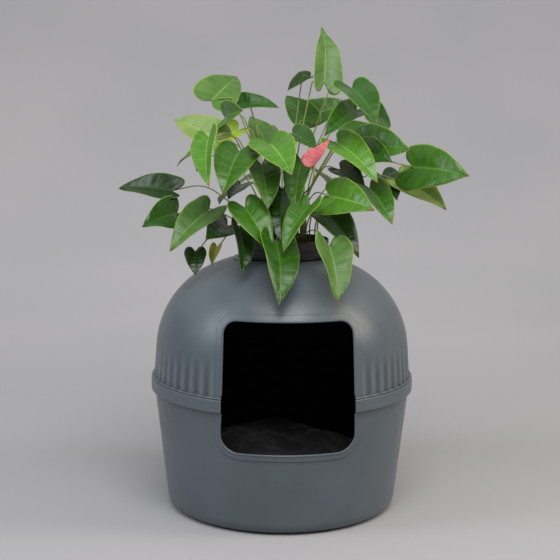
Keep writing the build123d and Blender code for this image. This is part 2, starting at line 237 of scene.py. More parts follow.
# The inner faces are painted near black, a painted shade for the dark cabin seen through the doorway; the
# real ones are most likely the same grey as the outside
outward = add_node(tree, "VectorMath", {0: place, 1: (0, 0, 0.25)}, operation="SUBTRACT").outputs[0]
facing = add_node(tree, "NewGeometry").outputs["True Normal"]
facing = add_node(tree, "VectorMath", {0: outward, 1: facing}, operation="DOT_PRODUCT").outputs["Value"]
inner_painted_shade = spread(tree, facing, -0.1, -0.02, 1.0, 0.0)
tone = mixed(tree, inner_painted_shade, tone, "#050606")
gloss = spread(tree, scuff, 0.3, 0.75, 0.3, 0.42)
gloss = add_node(tree, "Math", {0: inner_painted_shade, 1: 0.5, 2: gloss}, operation="MULTIPLY_ADD").outputs[0]
rounded = add_node(tree, "Bevel", {"Radius": edge_radius}, samples=6).outputs["Normal"]
bump = add_node(tree, "Bump", {"Height": pits, "Strength": 0.22, "Distance": 0.00025, "Normal": rounded})
shader = add_node(
    tree, "BsdfPrincipled", {"Base Color": tone, "Roughness": gloss, "Normal": bump.outputs["Normal"]}
)
shader.inputs["IOR"].default_value = 1.49
add_node(tree, "OutputMaterial", {"Surface": shader.outputs["BSDF"]})


def wear(node, material):
    """Gives a CAD node its finish."""
    mesh = nodes[node].data
    if not mesh.materials:
        mesh.materials.append(material)
    for slot in nodes[node].material_slots:
        slot.material = material


for node in ("litter_pan", "hood", "planter_cup"):
    wear(node, slate)

# ------------------------------------------------------------------ doorway lip
# Both shells turn outward in a thin rounded bead round the doorway, moulded in one with the wall, so a cat
# meets no sharp edge. The pan's bead ends at its rim and the hood's starts above it.

door_sill, door_head = 0.154, 0.391
door_sill_half, door_head_half = 0.121, 0.116
door_sill_corner, door_head_corner = 0.034, 0.026
lip_radius = 0.0019
pan_low_radius, pan_high_radius, pan_height = 0.217, 0.246, 0.251
border_height = 0.0015


def doorway_edge():
    """The doorway's edge seen from the front, from the middle of its sill round to the middle of its head."""
    path = [(0.0, door_sill)]
    for radius, z, half, turns in (
        (door_sill_corner, door_sill + door_sill_corner, door_sill_half, (-90, 0)),
        (door_head_corner, door_head - door_head_corner, door_head_half, (0, 90)),
    ):
        for a in np.radians(np.linspace(*turns, 15)):
            path.append((half - radius + radius * cos(a), z + radius * sin(a)))
    path.append((0.0, door_head))
    path = np.array(path)
    run = np.r_[0, np.cumsum(np.hypot(*np.diff(path, axis=0).T))]
    even = np.arange(0, run[-1], 0.003)
    return np.column_stack([np.interp(even, run, path[:, 0]), np.interp(even, run, path[:, 1])])


def tube(line, radii, sides=8):
    """Points and faces of a closed tube along a line."""
    points, faces = [], []
    aside = Vector((1, 0, 0))
    for k, place in enumerate(line):
        ahead = Vector(line[min(k + 1, len(line) - 1)] - line[max(k - 1, 0)]).normalized()
        aside = (aside - aside.dot(ahead) * ahead).normalized()
        other = ahead.cross(aside)
        for s in range(sides):
            turn = 2 * pi * s / sides
            points.append(Vector(place) + (aside * cos(turn) + other * sin(turn)) * radii[k])
    for k in range(len(line) - 1):
        for s in range(sides):
            a, b = k * sides + s, k * sides + (s + 1) % sides
            faces.append((a, b, b + sides, a + sides))
    faces.append(tuple(range(sides))[::-1])
    faces.append(tuple(range((len(line) - 1) * sides, len(line) * sides)))
    return points, faces


hood_points = np.array([v.co for v in nodes["hood"].data.vertices])
hood_reach = np.hypot(hood_points[:, 0], hood_points[:, 1])


def pan_front(z):
    """Outer radius of the pan at a height, on its raised border."""
    return pan_low_radius + (pan_high_radius - pan_low_radius) * z / pan_height + border_height


def hood_front(z):
    """Outer radius of the hood at a height, on its raised border, measured on the moulding."""
    near = (np.abs(hood_points[:, 2] - z) < 0.006) & (hood_points[:, 1] < -0.1)
    return hood_reach[near].max()


hood_levels = np.linspace(0.262, door_head, 12)
shoulder = np.polyfit(hood_levels, [hood_front(z) for z in hood_levels], 3)
edge = doorway_edge()
for shell, low, high in (("litter_pan", 0.0, 0.2265), ("hood", 0.2562, 1.0)):
    half = [p for p in edge if low <= p[1] <= high]
    half = half[::-1] if shell == "litter_pan" else half
    both = [(x, z) for x, z in half] + [(-x, z) for x, z in half[::-1] if x > 1e-6]
    line = []
    for x, z in both:
        reach = pan_front(z) if shell == "litter_pan" else np.polyval(shoulder, z)
        reach -= lip_radius * 0.45
        line.append(np.array([x, -((reach**2 - x**2) ** 0.5), z]))
    ring_points, ring_faces = tube(line, [lip_radius] * len(line), 12)
    lip = mesh_object(shell + "_doorway_lip", ring_points, ring_faces, [slate])
    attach(lip, "base" if shell == "litter_pan" else "hood")

# ------------------------------------------------------------------ nursery pot
# A thin blow-moulded pot in black polypropylene, stood in the cup: it is what the plant was sold in.

# Recycled black polypropylene: satin, with light scuffs and dust from handling
nursery_black, tree = start_material("black_blow_moulded_polypropylene")
place = add_node(tree, "TexCoord").outputs["Object"]
dust_patch = 0.01538
blow_ripple = 0.00417
pot_edge_radius = 0.0006
dust = add_node(
    tree, "TexNoise", {"Vector": place, "Scale": 1 / dust_patch, "Detail": 6.0, "Roughness": 0.65}
).outputs["Fac"]
ripple = add_node(tree, "TexNoise", {"Vector": place, "Scale": 1 / blow_ripple, "Detail": 2.0}).outputs["Fac"]
tone = mixed(tree, spread(tree, dust, 0.5, 0.8), "#141414", "#3a3632")
rounded = add_node(tree, "Bevel", {"Radius": pot_edge_radius}, samples=4).outputs["Normal"]
bump = add_node(tree, "Bump", {"Height": ripple, "Strength": 0.2, "Distance": 0.0003, "Normal": rounded})
gloss = spread(tree, dust, 0.3, 0.8, 0.32, 0.6)
shader = add_node(
    tree, "BsdfPrincipled", {"Base Color": tone, "Roughness": gloss, "Normal": bump.outputs["Normal"]}
)
add_node(tree, "OutputMaterial", {"Surface": shader.outputs["BSDF"]})
wear("plant_pot", nursery_black)

# ------------------------------------------------------------------ potting soil
# Peat with bark chips, filled to 18 mm below the pot's rim and pressed down at the edge by watering.

# Damp peat: near black brown, crumbly, with paler fibres
peat, tree = start_material("damp_peat")
place = add_node(tree, "TexCoord").outputs["Object"]
crumb = add_node(
    tree, "TexNoise", {"Vector": place, "Scale": 1 / 0.004, "Detail": 5.0, "Roughness": 0.7}
).outputs["Fac"]
clod = add_node(tree, "TexVoronoi", {"Vector": place, "Scale": 1 / 0.007}).outputs["Distance"]
tone = mixed(tree, spread(tree, crumb, 0.35, 0.7), "#1d140e", "#4a382a")
tone = mixed(tree, spread(tree, clod, 0.35, 0.8, 0.0, 0.5), tone, "#2c2018")
bump = add_node(tree, "Bump", {"Height": crumb, "Strength": 0.8, "Distance": 0.002})
shader = add_node(
    tree, "BsdfPrincipled", {"Base Color": tone, "Roughness": 0.92, "Normal": bump.outputs["Normal"]}
)
add_node(tree, "OutputMaterial", {"Surface": shader.outputs["BSDF"]})

# Composted bark: reddish brown flakes with a pale broken edge
bark, tree = start_material("composted_bark")
place = add_node(tree, "TexCoord").outputs["Object"]
layers = add_node(tree, "TexNoise", {"Vector": place, "Scale": 1 / 0.006, "Detail": 4.0}).outputs["Fac"]
tone = mixed(tree, spread(tree, layers, 0.3, 0.7), "#38241a", "#7a5a40")
bump = add_node(tree, "Bump", {"Height": layers, "Strength": 0.6, "Distance": 0.001})
shader = add_node(
    tree, "BsdfPrincipled", {"Base Color": tone, "Roughness": 0.85, "Normal": bump.outputs["Normal"]}
)
add_node(tree, "OutputMaterial", {"Surface": shader.outputs["BSDF"]})

soil_low, soil_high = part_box("potting_soil")
soil_top = soil_high.z
soil_radius = soil_high.x - 0.0004
soil_foot = 0.0622
rings, turns = 30, 90
points, faces = [], []
for ring in range(1, rings + 1):
    reach = soil_radius * ring / rings
    for k in range(turns):
        x, y = reach * cos(2 * pi * k / turns), reach * sin(2 * pi * k / turns)
        lump = 0.0035 * noise.noise(Vector((x, y, 0)) * 60) + 0.0016 * noise.noise(Vector((x, y, 0.3)) * 190)
        points.append((x, y, soil_top - 0.0025 + lump - 0.004 * (ring / rings) ** 6))
for k in range(turns):
    points.append(
        (soil_foot * cos(2 * pi * k / turns), soil_foot * sin(2 * pi * k / turns), soil_low.z + 0.0002)
    )
points += [(0, 0, soil_top - 0.0025), (0, 0, soil_low.z + 0.0002)]
for ring in range(rings):
    for k in range(turns):
        a, b = ring * turns + k, ring * turns + (k + 1) % turns
        faces.append((a, b, b + turns, a + turns)[::-1])
for k in range(turns):
    faces.append((len(points) - 2, k, (k + 1) % turns))
    faces.append((len(points) - 1, rings * turns + (k + 1) % turns, rings * turns + k))
face_materials = [0] * len(faces)
chip_seed = np.random.default_rng(11)
for chip in range(260):
    reach, turn = soil_radius * 0.95 * chip_seed.random() ** 0.5, 2 * pi * chip_seed.random()
    size = 0.0022 + 0.0042 * chip_seed.random() ** 2
    turned = Matrix.Rotation(
        6.3 * chip_seed.random(), 3, "Z"
    ) @ Matrix.Rotation(0.9 * chip_seed.random(), 3, "X")
    first = len(points)
    ball = bmesh.new()
    bmesh.ops.create_icosphere(ball, subdivisions=1, radius=1)
    for v in ball.verts:
        v.co *= 1 + 0.35 * noise.noise(v.co * 2 + Vector((chip, 0, 0)))
        place = turned @ Vector((v.co.x * size, v.co.y * size * 0.7, v.co.z * size * 0.32))
        points.append((place.x + reach * cos(turn), place.y + reach * sin(turn), place.z + soil_top - 0.001))
    faces += [tuple(first + v.index for v in f.verts) for f in ball.faces]
    face_materials += [chip % 3 and 1 or 0] * len(ball.faces)
    ball.free()
soil = mesh_object("potting_soil_surface", points, faces, [peat, bark], face_materials)
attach(soil, "plant")
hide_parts("potting_soil")

# ------------------------------------------------------------------ leaves
# Fifty heart-shaped leaves of a potted flamingo flower, each one organ with its long round stalk. A blade is
# leathery: glossy above and matt and paler below, folded along its midrib, with sunken side veins.


def leaf_skin(name, blade, vein, margin, tip, gloss=0.24, shine=0.45):
    """The upper skin of a leaf: waxy cuticle over green tissue, paler veins, a thin margin and a dry tip."""
    skin, tree = start_material(name)
    at = add_node(tree, "Attribute", attribute_name="blade_at").outputs["Vector"]
    parts = add_node(tree, "SeparateXYZ", {"Vector": at})
    along, across, rib = parts.outputs["X"], parts.outputs["Y"], parts.outputs["Z"]
    place = add_node(tree, "TexCoord").outputs["Object"]
    cells = add_node(tree, "TexNoise", {"Vector": place, "Scale": 1 / 0.0016, "Detail": 3.0}).outputs["Fac"]
    cloud = add_node(
        tree, "TexNoise", {"Vector": place, "Scale": 1 / 0.03, "Detail": 3.0, "Roughness": 0.6}
    ).outputs["Fac"]
    plant = add_node(tree, "TexNoise", {"Vector": place, "Scale": 1 / 0.14, "Detail": 1.0}).outputs["Fac"]
    wave = add_node(tree, "Math", {0: rib, 1: 2 * pi * side_veins}, operation="MULTIPLY")
    wave = add_node(tree, "Math", {0: wave.outputs[0]}, operation="COSINE").outputs[0]
    side = spread(tree, wave, 0.86, 1.0)
    middle = spread(tree, across, 0.015, 0.06, 1.0, 0.0)
    green = mixed(tree, spread(tree, cloud, 0.3, 0.7), blade[0], blade[1])
    green = mixed(tree, spread(tree, plant, 0.35, 0.65, 0.0, 0.35), green, blade[2])
    green = mixed(tree, spread(tree, cells, 0.3, 0.7, 0.0, 0.18), green, vein)
    green = mixed(
        tree, add_node(tree, "Math", {0: side, 1: 0.16}, operation="MULTIPLY").outputs[0], green, vein
    )
    green = mixed(
        tree, add_node(tree, "Math", {0: middle, 1: 0.5}, operation="MULTIPLY").outputs[0], green, vein
    )
    green = mixed(tree, spread(tree, across, 0.93, 1.0, 0.0, 0.8), green, margin)
    frayed = add_node(tree, "Math", {0: cloud, 1: 0.12}, operation="MULTIPLY").outputs[0]
    frayed = add_node(tree, "Math", {0: along, 1: frayed}, operation="ADD").outputs[0]
    green = mixed(tree, spread(tree, frayed, 0.99, 1.04), green, tip)
    hollow = add_node(tree, "Math", {0: side, 1: middle}, operation="MAXIMUM").outputs[0]
    grain_of_skin = add_node(tree, "Math", {0: cells, 1: 0.12}, operation="MULTIPLY").outputs[0]
    height = add_node(tree, "Math", {0: grain_of_skin, 1: hollow}, operation="SUBTRACT").outputs[0]
    bump = add_node(tree, "Bump", {"Height": height, "Strength": 0.35, "Distance": 0.0006})
    rough = spread(tree, cloud, 0.3, 0.75, gloss, gloss + 0.14)
    shader = add_node(
        tree, "BsdfPrincipled", {"Base Color": green, "Roughness": rough, "Normal": bump.outputs["Normal"]}
    )
    shader.inputs["Specular IOR Level"].default_value = shine
    add_node(tree, "OutputMaterial", {"Surface": shader.outputs["BSDF"]})
    return skin


side_veins = 8
# Cuticle of the upper side, from the deepest shade of the older leaves to the yellowing ones
skins = {
    "deep": leaf_skin(
        "leaf_cuticle_deep_green", ("#1f4a04", "#2c5a0a", "#183c05"), "#4a8020", "#7fae2a", "#6c5424"
    ),
    "dark": leaf_skin(
        "leaf_cuticle_shaded_green", ("#122c03", "#1d4007", "#0c2003"), "#2f5a12", "#55801e", "#5a3a22"
    ),
    "mid": leaf_skin(
        "leaf_cuticle_mid_green", ("#2d5c10", "#3a6d1a", "#244d0a"), "#6f9c3a", "#98bc3a", "#7b522a"
    ),
    "bright": leaf_skin(
        "leaf_cuticle_bright_green", ("#397012", "#4c8420", "#2f620c"), "#8cba4a", "#b2c83c", "#8c6430"
    ),
    "grey": leaf_skin(
        "leaf_cuticle_grey_green", ("#3c6420", "#4b752c", "#33581a"), "#80a458", "#9fb848", "#7a522c", 0.34
    ),
    "pale": leaf_skin(
        "leaf_cuticle_pale_green", ("#6f8e42", "#839e50", "#65843a"), "#a4b870", "#b6ba58", "#8d5530", 0.36
    ),
    "lime": leaf_skin(
        "leaf_cuticle_young_lime", ("#8fb024", "#a6c333", "#86aa22"), "#c9d870", "#cfd64f", "#8c7a30", 0.3
    ),
    "yellow": leaf_skin(
        "leaf_cuticle_yellowing", ("#8a8f2c", "#a39c34", "#7c8a28"), "#c4b85c", "#b98d3a", "#7a4a26", 0.4
    ),
}


def under_skin(name, low, high, vein):
    """The under side of a leaf: no wax, so matt and paler, with the veins standing proud."""
    skin, tree = start_material(name)
    at = add_node(tree, "Attribute", attribute_name="blade_at").outputs["Vector"]
    parts = add_node(tree, "SeparateXYZ", {"Vector": at})
    place = add_node(tree, "TexCoord").outputs["Object"]
    cloud = add_node(tree, "TexNoise", {"Vector": place, "Scale": 1 / 0.012, "Detail": 4.0}).outputs["Fac"]
    wave = add_node(tree, "Math", {0: parts.outputs["Z"], 1: 2 * pi * side_veins}, operation="MULTIPLY")
    wave = add_node(tree, "Math", {0: wave.outputs[0]}, operation="COSINE").outputs[0]
    proud = add_node(
        tree,
        "Math",
        {0: spread(tree, wave, 0.85, 1.0), 1: spread(tree, parts.outputs["Y"], 0.02, 0.09, 1.0, 0.0)},
        operation="MAXIMUM",
    ).outputs[0]
    green = mixed(tree, spread(tree, cloud, 0.3, 0.7), low, high)
    green = mixed(
        tree, add_node(tree, "Math", {0: proud, 1: 0.6}, operation="MULTIPLY").outputs[0], green, vein
    )
    bump = add_node(tree, "Bump", {"Height": proud, "Strength": 0.5, "Distance": 0.0006})
    shader = add_node(
        tree, "BsdfPrincipled", {"Base Color": green, "Roughness": 0.55, "Normal": bump.outputs["Normal"]}
    )
    add_node(tree, "OutputMaterial", {"Surface": shader.outputs["BSDF"]})
    return skin


unders = {
    "dark": under_skin("leaf_underside_dark", "#3d5c2a", "#4a6a34", "#7d9a5c"),
    "light": under_skin("leaf_underside_light", "#67894a", "#7a9a58", "#b0c48a"),
}

# Rind of a stalk: smooth, slightly ribbed along its length, olive green with a redder foot
rind, tree = start_material("leaf_stalk_rind")
place = add_node(tree, "TexCoord").outputs["Object"]
height_up = add_node(tree, "SeparateXYZ", {"Vector": place}).outputs["Z"]
cloud = add_node(tree, "TexNoise", {"Vector": place, "Scale": 1 / 0.018, "Detail": 3.0}).outputs["Fac"]
fine = add_node(tree, "TexNoise", {"Vector": place, "Scale": 1 / 0.002, "Detail": 2.0}).outputs["Fac"]
green = mixed(tree, spread(tree, cloud, 0.3, 0.7), "#6f7f34", "#93a050")
green = mixed(tree, spread(tree, height_up, soil_top, soil_top + 0.09, 0.7, 0.0), green, "#4c4a24")
bump = add_node(tree, "Bump", {"Height": fine, "Strength": 0.3, "Distance": 0.0003})
shader = add_node(
    tree, "BsdfPrincipled", {"Base Color": green, "Roughness": 0.42, "Normal": bump.outputs["Normal"]}
)
add_node(tree, "OutputMaterial", {"Surface": shader.outputs["BSDF"]})


def leaf_lie(node):
    """Where a leaf's flat CAD blade lies: its joint with the stalk, its length, and a turn whose columns
    point to the tip, across the blade and out of its upper side."""
    mesh = nodes[node].data
    count = len(mesh.polygons)
    normals, centres, areas = np.empty(count * 3), np.empty(count * 3), np.empty(count)
    mesh.polygons.foreach_get("normal", normals)
    mesh.polygons.foreach_get("center", centres)
    mesh.polygons.foreach_get("area", areas)
    normals, centres = normals.reshape(-1, 3), centres.reshape(-1, 3)
    up = normals[np.argmax(areas)]
    up = up if up[2] > 0 else -up
    level = centres @ up
    flat = np.abs(normals @ up) > 0.999
    order = np.argsort(level[flat])
    filled = np.cumsum(areas[flat][order]) / areas[flat].sum()
    under_face, upper_face = (level[flat][order][np.searchsorted(filled, part)] for part in (0.25, 0.75))
    middle = (under_face + upper_face) / 2
    on_blade = np.flatnonzero(flat & (np.abs(level - middle) < 0.0008))
    heart = (centres[on_blade] * areas[on_blade, None]).sum(0) / areas[on_blade].sum()
    corners = np.array([mesh.vertices[v].co for f in on_blade for v in mesh.polygons[f].vertices])
    corners -= np.outer(corners @ up - middle, up)
    heart -= (heart @ up - middle) * up
    tip = corners[np.argmax(np.linalg.norm(corners - heart, axis=1))]
    along = (tip - heart) / np.linalg.norm(tip - heart)
    length = ((tip - corners) @ along).max() / 1.2024
    return tip - along * length, length, np.column_stack([along, np.cross(up, along), up])


def bezier(share, *ends):
    """Points on a cubic curve."""
    share = np.asarray(share)[:, None]
    a, b, c, d = (np.array(e, float) for e in ends)
    left = 1 - share
    return left**3 * a + 3 * left**2 * share * b + 3 * left * share**2 * c + share**3 * d


def heart_margin(half):
    """One side of a heart-shaped blade of length 1, from the sinus at the joint round the lobe to the tip."""
    lobe = (-0.2, 0.5 * half)
    sinus = bezier(np.linspace(0, 1, 8), (0, 0), (-0.03, 0.3 * half), (-0.17, 0.1 * half), lobe)
    side = bezier(np.linspace(0, 1, 17), lobe, (-0.24, 0.95 * half), (0.05, 1.2 * half), (0.34, 0.9 * half))
    end = bezier(np.linspace(0, 1, 19), (0.34, 0.9 * half), (0.63, 0.76 * half), (0.86, 0.27 * half), (1, 0))
    return np.vstack([sinus, side[1:], end[1:]])


blade_half_width = 0.4
blade_thickness = 0.0007
stalk_thickness = 0.0028
across_steps = 9


def blade_grid(fold, arch, ruffle, phase, cup=0.0, width=1.0):
    """Points of a blade of length 1, one list for each side of the midrib, with its place on the blade.

    Ribs run from the midrib out to the margin, as the side veins do. fold lifts both halves into a V,
    arch bows the midrib up between its ends, cup rolls the margins and ruffle waves them.
    """
    margin = heart_margin(blade_half_width * width)
    ribs = len(margin)
    t = np.linspace(0, 1, ribs)
    foot = np.clip((t - 0.16) / 0.84, 0, 1) ** 1.25 * 0.995
    sides = []
    for side in (1, -1):
        grid, at = [], []
        for i in range(ribs):
            for j in range(across_steps + 1):
                w = j / across_steps
                reach = w**0.9
                x = foot[i] + (margin[i, 0] - foot[i]) * reach
                y = margin[i, 1] * reach
                pillow = 0.011 * abs(sin(pi * side_veins * t[i])) ** 0.7 * sin(pi * w) ** 0.6
                z = fold * (hypot(y, 0.06) - 0.06)
                z += arch * 4 * max(x, 0) * (1 - max(x, 0)) - arch * 1.1 * min(x, 0) ** 2
                z += cup * (y / blade_half_width) ** 2 + pillow
                z += ruffle * w**3 * sin(2 * pi * (2.6 * t[i] + phase + 0.35 * side))
                z -= 0.05 * max(0, x - 0.75) ** 2 * 4
                grid.append((x, side * y, z))
                at.append((x, w, t[i]))
        sides.append((np.array(grid), np.array(at), side))
    return sides, ribs


root_gather = 0.27  # how far out a stalk leaves the soil, as a share of its joint's distance
root_depth = 0.006
over_pot_rim = 0.038


def stalk_line(joint, out=0.6, climb_over=0.1):
    """The line of a leaf stalk: up out of the soil, over in one easy bend, and along to its joint."""
    root = np.array([joint[0] * root_gather, joint[1] * root_gather, soil_top])
    climb = max(joint[2] - soil_top, over_pot_rim)
    way = np.array([joint[0] - root[0], joint[1] - root[1], 0])
    bends = [
        root - [0, 0, root_depth],
        root + [0, 0, 0.5 * climb],
        root + out * way + [0, 0, climb + climb_over * np.linalg.norm(way)],
        joint,
    ]
    line = [bends[0]]
    for k in (1, 2):
        before, after = np.linalg.norm(bends[k] - bends[k - 1]), np.linalg.norm(bends[k + 1] - bends[k])
        easy = 0.47 * min(before, after)
        start = bends[k] + (bends[k - 1] - bends[k]) / before * easy
        end = bends[k] + (bends[k + 1] - bends[k]) / after * easy
        for s in np.linspace(0, 1, 10):
            line.append((1 - s) ** 2 * start + 2 * s * (1 - s) * bends[k] + s * s * end)
    line.append(joint)
    return np.array(line)


def blade_shell(sides, ribs, joint, length, turn, thickness):
    """Points, faces, face materials and places on the blade of a thin closed blade: 0 above and 1 below."""
    points, faces, marks, places = [], [], [], []
    columns = across_steps + 1
    for grid, at, side in sides:
        laid = joint + (grid * length) @ turn.T
        first = len(points)
        top = laid + turn[:, 2] * thickness / 2
        bottom = laid - turn[:, 2] * thickness / 2
        points += list(top) + list(bottom)
        places += list(at) + list(at)
        under = len(top)
        for i in range(ribs - 1):
            for j in range(columns - 1):
                a = first + i * columns + j
                quad = (a, a + columns, a + columns + 1, a + 1)
                quad = quad if side < 0 else quad[::-1]
                faces += [quad, tuple(v + under for v in quad[::-1])]
                marks += [0, 1]
            a = first + i * columns + columns - 1
            rim = (a, a + columns, a + columns + under, a + under)
            faces.append(rim if side < 0 else rim[::-1])
            marks.append(0)
    return points, faces, marks, places


to_front = np.array([0.0, -0.98, 0.17])  # the plant stands with this side to the light


def turned_to_light(turn, share, most):
    """A blade's turn, rolled about its midrib a share of the way to the light, up to most degrees."""
    along, across, up = turn.T
    light = to_front - (to_front @ along) * along
    angle = np.arctan2(light @ across, light @ up) * share
    angle = np.clip(angle, -radians(most), radians(most))
    raised = cos(angle) * up + sin(angle) * across
    return np.column_stack([along, np.cross(raised, along), raised])


def make_leaf(name, node, skin, under, fold, arch, ruffle, cup):
    """One leaf: its shell and its stalk, in place of the flat CAD one."""
    joint, length, turn = leaf_lie(node)
    seen = abs(turn[:, 2] @ to_front)
    turn = turned_to_light(turn, 0.5, 28)
    width = min(1, max(0.6, seen / abs(turn[:, 2] @ to_front)))
    fold = 0.5 * fold + 0.55 * (1 - width**2) ** 0.5
    number = int(node[-2:])
    sides, ribs = blade_grid(fold, arch, ruffle, number * 0.37, cup, width)
    points, faces, marks, places = blade_shell(sides, ribs, joint, length, turn, blade_thickness)
    line = stalk_line(joint)
    thin = stalk_thickness / 2 * (1 - 0.3 * np.linspace(0, 1, len(line)))
    thin[-3:] *= np.array([1.1, 1.25, 0.9])
    line[-1] = joint + turn[:, 0] * 0.006 - turn[:, 2] * 0.0012
    tube_points, tube_faces = tube(line, thin)
    first = len(points)
    points += [tuple(p) for p in tube_points]
    faces += [tuple(first + v for v in f) for f in tube_faces]
    marks += [2] * len(tube_faces)
    places += [(0, 0.5, 0)] * len(tube_points)
    leaf = mesh_object(name, points, faces, [skins[skin], unders[under], rind], marks)
    where = leaf.data.attributes.new("blade_at", "FLOAT_VECTOR", "POINT")
    where.data.foreach_set("vector", np.array(places, np.float32).ravel())
    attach(leaf, "plant")
    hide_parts(node)
    return leaf


# Each leaf's skin above and below, then how it is folded, arched, ruffled and cupped, as shares of its length
leaf_looks = [
    ("grey", "light", 0.25, 0.05, 0.010, -0.02),
    ("deep", "light", 0.30, 0.07, 0.010, -0.03),
    ("mid", "light", 0.35, 0.04, 0.012, 0.00),
    ("pale", "light", 0.35, 0.05, 0.010, -0.02),
    ("lime", "light", 0.45, 0.06, 0.015, -0.03),
    ("bright", "light", 0.40, 0.07, 0.012, -0.04),
    ("mid", "light", 0.18, 0.08, 0.010, -0.08),
    ("grey", "light", 0.22, 0.05, 0.012, -0.03),
    ("bright", "dark", 0.25, 0.07, 0.010, -0.04),
    ("grey", "light", 0.35, 0.05, 0.015, 0.00),
    ("deep", "light", 0.25, 0.06, 0.012, -0.02),
    ("dark", "dark", 0.30, 0.05, 0.010, -0.03),
    ("grey", "light", 0.28, 0.06, 0.020, -0.03),
    ("deep", "light", 0.20, 0.08, 0.012, -0.05),
    ("deep", "dark", 0.30, 0.05, 0.012, -0.03),
    ("mid", "light", 0.22, 0.06, 0.010, -0.03),
    ("deep", "dark", 0.25, 0.07, 0.010, -0.04),
    ("mid", "dark", 0.25, 0.05, 0.010, -0.02),
    ("mid", "light", 0.20, 0.07, 0.012, -0.04),
    ("deep", "light", 0.20, 0.07, 0.012, -0.04),
    ("bright", "light", 0.22, 0.08, 0.010, -0.04),
    ("mid", "light", 0.18, 0.08, 0.014, -0.08),
    ("pale", "light", 0.30, 0.06, 0.012, -0.02),
    ("mid", "light", 0.25, 0.07, 0.010, -0.04),
    ("mid", "light", 0.30, 0.08, 0.010, -0.03),
    ("bright", "light", 0.20, 0.07, 0.010, -0.09),
    ("mid", "light", 0.25, 0.06, 0.012, -0.03),
    ("dark", "dark", 0.30, 0.06, 0.012, -0.03),
    ("dark", "dark", 0.25, 0.05, 0.010, -0.02),
    ("deep", "light", 0.30, 0.06, 0.010, -0.03),
    ("dark", "dark", 0.22, 0.08, 0.012, -0.04),
    ("grey", "light", 0.50, 0.07, 0.030, -0.03),
    ("deep", "dark", 0.25, 0.08, 0.010, -0.08),
    ("mid", "light", 0.22, 0.07, 0.012, -0.08),
    ("dark", "dark", 0.35, 0.07, 0.010, -0.03),
    ("mid", "light", 0.25, 0.06, 0.010, -0.04),
    ("dark", "dark", 0.25, 0.05, 0.010, -0.03),
    ("grey", "light", 0.22, 0.08, 0.012, -0.05),
    ("dark", "light", 0.30, 0.06, 0.010, -0.03),
    ("deep", "light", 0.25, 0.07, 0.030, -0.03),
    ("dark", "light", 0.30, 0.07, 0.012, -0.04),
    ("dark", "light", 0.20, 0.06, 0.012, -0.04),
    ("yellow", "light", 0.30, 0.05, 0.015, -0.02),
    ("dark", "dark", 0.25, 0.06, 0.010, -0.03),
    ("mid", "light", 0.25, 0.07, 0.012, -0.04),
    ("deep", "light", 0.25, 0.07, 0.012, -0.04),
    ("grey", "light", 0.22, 0.08, 0.012, -0.04),
    ("bright", "light", 0.25, 0.07, 0.012, -0.04),
    ("mid", "light", 0.25, 0.07, 0.012, -0.04),
    ("deep", "dark", 0.25, 0.07, 0.012, -0.04),
]
for number, (skin, under, fold, arch, ruffle, cup) in enumerate(leaf_looks, 1):
    make_leaf(f"leaf_blade_{number:02}", f"leaf_{number:02}", skin, under, fold, arch, ruffle, cup)

# ------------------------------------------------------------------ flower
# One flamingo flower: a waxy salmon spathe that cups a pencil-thick spadix of tightly packed florets, on
# its own round stalk.

# Spathe: thick wax over pink tissue, with raised veins and a greener edge
wax, tree = start_material("spathe_wax")
at = add_node(tree, "Attribute", attribute_name="blade_at").outputs["Vector"]
parts = add_node(tree, "SeparateXYZ", {"Vector": at})
place = add_node(tree, "TexCoord").outputs["Object"]
cloud = add_node(tree, "TexNoise", {"Vector": place, "Scale": 1 / 0.012, "Detail": 3.0}).outputs["Fac"]
wave = add_node(tree, "Math", {0: parts.outputs["Z"], 1: 2 * pi * side_veins}, operation="MULTIPLY")
wave = add_node(tree, "Math", {0: wave.outputs[0]}, operation="COSINE").outputs[0]
proud = spread(tree, wave, 0.6, 1.0)
pink = mixed(tree, spread(tree, cloud, 0.3, 0.7), "#f4707c", "#fb9498")
pink = mixed(
    tree, add_node(tree, "Math", {0: proud, 1: 0.35}, operation="MULTIPLY").outputs[0], pink, "#f9b5b0"
)
pink = mixed(tree, spread(tree, parts.outputs["Y"], 0.9, 1.0, 0.0, 0.6), pink, "#d9565f")
bump = add_node(tree, "Bump", {"Height": proud, "Strength": 0.5, "Distance": 0.0006})
shader = add_node(
    tree, "BsdfPrincipled", {"Base Color": pink, "Roughness": 0.3, "Normal": bump.outputs["Normal"]}
)
shader.inputs["Coat Weight"].default_value = 0.25
add_node(tree, "OutputMaterial", {"Surface": shader.outputs["BSDF"]})

joint, length, turn = leaf_lie("spathe")
sides, ribs = blade_grid(0.4, -0.06, 0.012, 0.2, 0.14, 1.15)
points, faces, marks, places = blade_shell(sides, ribs, joint, length, turn, 0.001)
spathe = mesh_object("spathe_bract", points, faces, [wax, wax], marks)
where = spathe.data.attributes.new("blade_at", "FLOAT_VECTOR", "POINT")
where.data.foreach_set("vector", np.array(places, np.float32).ravel())
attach(spathe, "plant")
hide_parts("spathe")

# Spadix: hundreds of florets, each a small yellow dome, darker between
florets, tree = start_material("spadix_florets")
place = add_node(tree, "TexCoord").outputs["Object"]
dome = add_node(tree, "TexVoronoi", {"Vector": place, "Scale": 1 / 0.0013}).outputs["Distance"]
tone = mixed(tree, spread(tree, dome, 0.2, 0.7), "#efc860", "#a9762c")
bump = add_node(tree, "Bump", {"Height": dome, "Strength": 0.8, "Distance": 0.0005}, invert=True)
shader = add_node(
    tree, "BsdfPrincipled", {"Base Color": tone, "Roughness": 0.5, "Normal": bump.outputs["Normal"]}
)
add_node(tree, "OutputMaterial", {"Surface": shader.outputs["BSDF"]})

